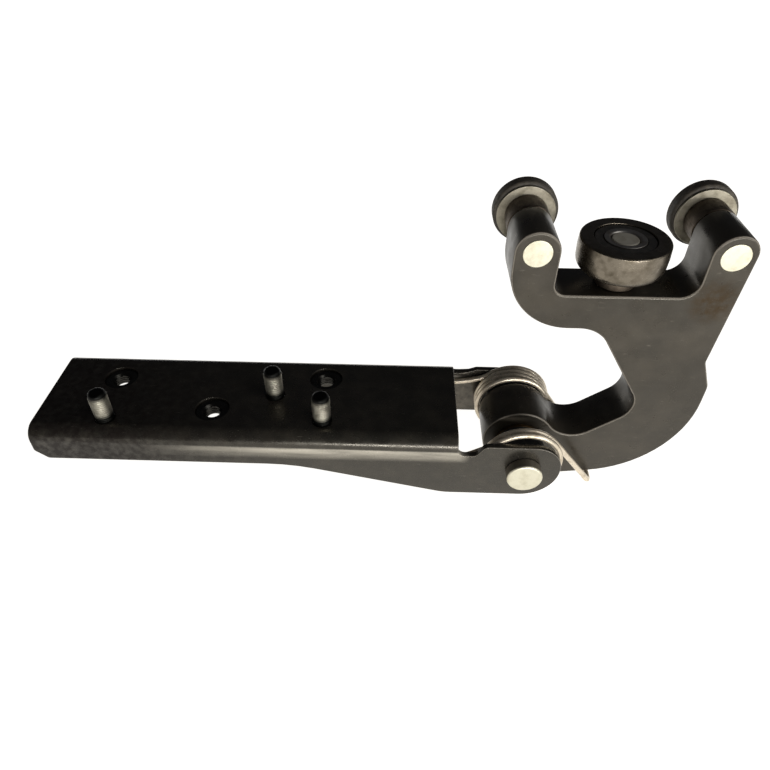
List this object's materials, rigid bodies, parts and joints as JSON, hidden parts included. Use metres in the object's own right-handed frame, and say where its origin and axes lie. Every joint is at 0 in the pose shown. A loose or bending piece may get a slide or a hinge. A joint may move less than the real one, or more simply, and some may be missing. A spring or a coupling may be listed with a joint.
{
  "type": "sliding door roller hinge",
  "caption": "Hinged roller carrier for a sliding door: a channel bracket with studs, a sprung gooseneck arm, guide rollers on its horns and a load roller between them.",
  "frame": {"origin": "middle of the bracket's flat mounting face, on the top of the web", "axes": "+X along the bracket towards the arm; +Y along the hinge pin, from its head to its clip; +Z out of the mounting face, the way the studs point"},
  "size_m": [0.2822, 0.0637, 0.1272],
  "materials": {
    "black_paint": "black electro-coat paint, semi-gloss, thin and scuffed along the bends",
    "zinc_steel": "zinc-plated steel, turned faces, lightly dulled",
    "dull_steel": "oiled bearing and fastener steel",
    "spring_wire": "drawn spring wire with a warm straw tint",
    "arm_paint": "worn black paint over a cut steel plate, grey-brown on the flat faces, black on the edges",
    "bronze": "sintered bronze, oiled",
    "black_nylon": "black nylon, satin",
    "collar_steel": "heat-darkened steel, brown on the collars",
    "roller_steel": "phosphated dark steel, polished by running",
    "seal_rubber": "black moulded rubber"
  },
  "bodies": {
    "bracket": {"bracket_channel": "black_paint", "mounting_stud_1": "zinc_steel", "mounting_stud_2": "zinc_steel", "mounting_stud_3": "zinc_steel", "clinch_nut_1": "dull_steel", "clinch_nut_2": "dull_steel", "clinch_nut_3": "dull_steel", "hinge_pin": "zinc_steel", "hinge_washer": "zinc_steel", "retaining_clip": "dull_steel", "spring_spacer_front": "black_nylon", "spring_spacer_rear": "black_nylon", "torsion_spring_front": "spring_wire", "torsion_spring_rear": "spring_wire"},
    "arm": {"roller_arm": "arm_paint", "pivot_bush_front": "bronze", "pivot_bush_rear": "bronze", "guide_pin_left": "collar_steel", "guide_washer_left": "zinc_steel", "guide_inner_race_left": "dull_steel", "guide_cap_washer_left": "zinc_steel", "guide_pin_right": "collar_steel", "guide_washer_right": "zinc_steel", "guide_inner_race_right": "dull_steel", "guide_cap_washer_right": "zinc_steel", "load_pin": "zinc_steel", "load_inner_race": "dull_steel"},
    "guide_roller_left": {"guide_outer_race_left": "dull_steel", "guide_tyre_left": "black_nylon"},
    "guide_cage_left": {"guide_ball_cage_left": "dull_steel"},
    "guide_roller_right": {"guide_outer_race_right": "dull_steel", "guide_tyre_right": "black_nylon"},
    "guide_cage_right": {"guide_ball_cage_right": "dull_steel"},
    "load_roller": {"load_roller": "roller_steel", "load_seal_upper": "seal_rubber", "load_seal_lower": "seal_rubber"},
    "load_cage": {"load_ball_cage": "dull_steel"}
  },
  "joints": [
    {"name": "arm_hinge", "type": "hinge", "parent": "bracket", "child": "arm", "pos_m": [0.1175, -0.0085, -0.0156], "axis": [0, 1, 0], "range_deg": [-60, 80], "stiffness_Nm_per_rad": 2, "deforming": ["torsion_spring_front", "torsion_spring_rear"]},
    {"name": "guide_left_spin", "type": "hinge", "parent": "arm", "child": "guide_roller_left", "pos_m": [0.1116, 0.0262, 0.0763], "axis": [0, 1, 0], "continuous": true},
    {"name": "guide_left_cage_spin", "type": "hinge", "parent": "arm", "child": "guide_cage_left", "pos_m": [0.1116, 0.0262, 0.0763], "axis": [0, 1, 0], "continuous": true},
    {"name": "guide_right_spin", "type": "hinge", "parent": "arm", "child": "guide_roller_right", "pos_m": [0.1801, 0.0262, 0.0763], "axis": [0, 1, 0], "continuous": true},
    {"name": "guide_right_cage_spin", "type": "hinge", "parent": "arm", "child": "guide_cage_right", "pos_m": [0.1801, 0.0262, 0.0763], "axis": [0, 1, 0], "continuous": true},
    {"name": "load_spin", "type": "hinge", "parent": "arm", "child": "load_roller", "pos_m": [0.1443, 0.00175, 0.0718], "axis": [0, 0, 1], "continuous": true},
    {"name": "load_cage_spin", "type": "hinge", "parent": "arm", "child": "load_cage", "pos_m": [0.1443, 0.00175, 0.0718], "axis": [0, 0, 1], "continuous": true}
  ],
  "couplings": [
    {"joint": "guide_left_cage_spin", "follows": "guide_left_spin", "ratio": 0.615},
    {"joint": "guide_right_cage_spin", "follows": "guide_right_spin", "ratio": 0.615},
    {"joint": "load_cage_spin", "follows": "load_spin", "ratio": 0.64}
  ]
}
